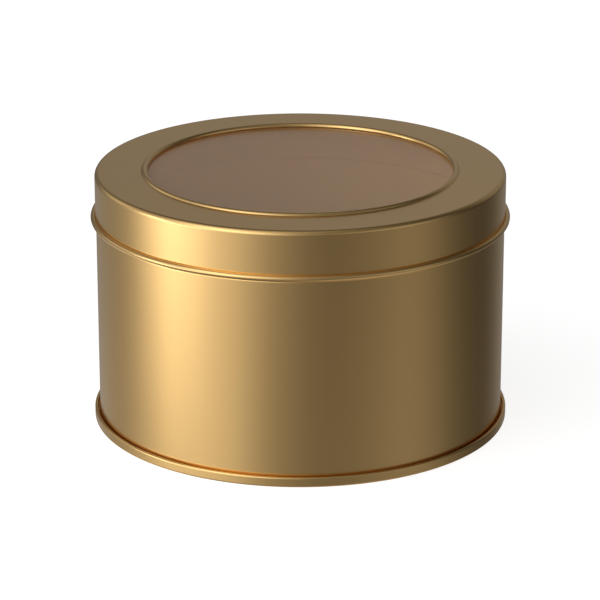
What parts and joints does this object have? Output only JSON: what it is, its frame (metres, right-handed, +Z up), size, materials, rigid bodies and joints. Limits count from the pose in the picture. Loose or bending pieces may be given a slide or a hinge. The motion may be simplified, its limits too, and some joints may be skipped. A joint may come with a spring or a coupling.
{
  "type": "candle tin",
  "caption": "Round gold-lacquered candle tin with a lift-off slip lid, a clear window set in a raised bead, and a hemmed base rim.",
  "frame": {"origin": "centre of the circle the tin stands on, at the underside of the base rim", "axes": "+Z up along the tin's axis, the direction the lid lifts off; the side seam lies 28 degrees from +X towards +Y"},
  "size_m": [0.0818, 0.0818, 0.0506],
  "materials": {
    "gold_tinplate": "satin gold lacquer on tinplate",
    "clear_pane": "clear, glossy",
    "seam_compound": "matt sealing compound"
  },
  "bodies": {
    "tin_body": {"body_wall": "gold_tinplate", "base_plate": "gold_tinplate", "base_seal": "seam_compound"},
    "lid": {"lid_shell": "gold_tinplate", "window_pane": "clear_pane", "window_retainer": "gold_tinplate"}
  },
  "joints": [
    {"name": "lid_lift", "type": "slide", "parent": "tin_body", "child": "lid", "axis": [0, 0, 1], "range_m": [0, 0.08]}
  ]
}
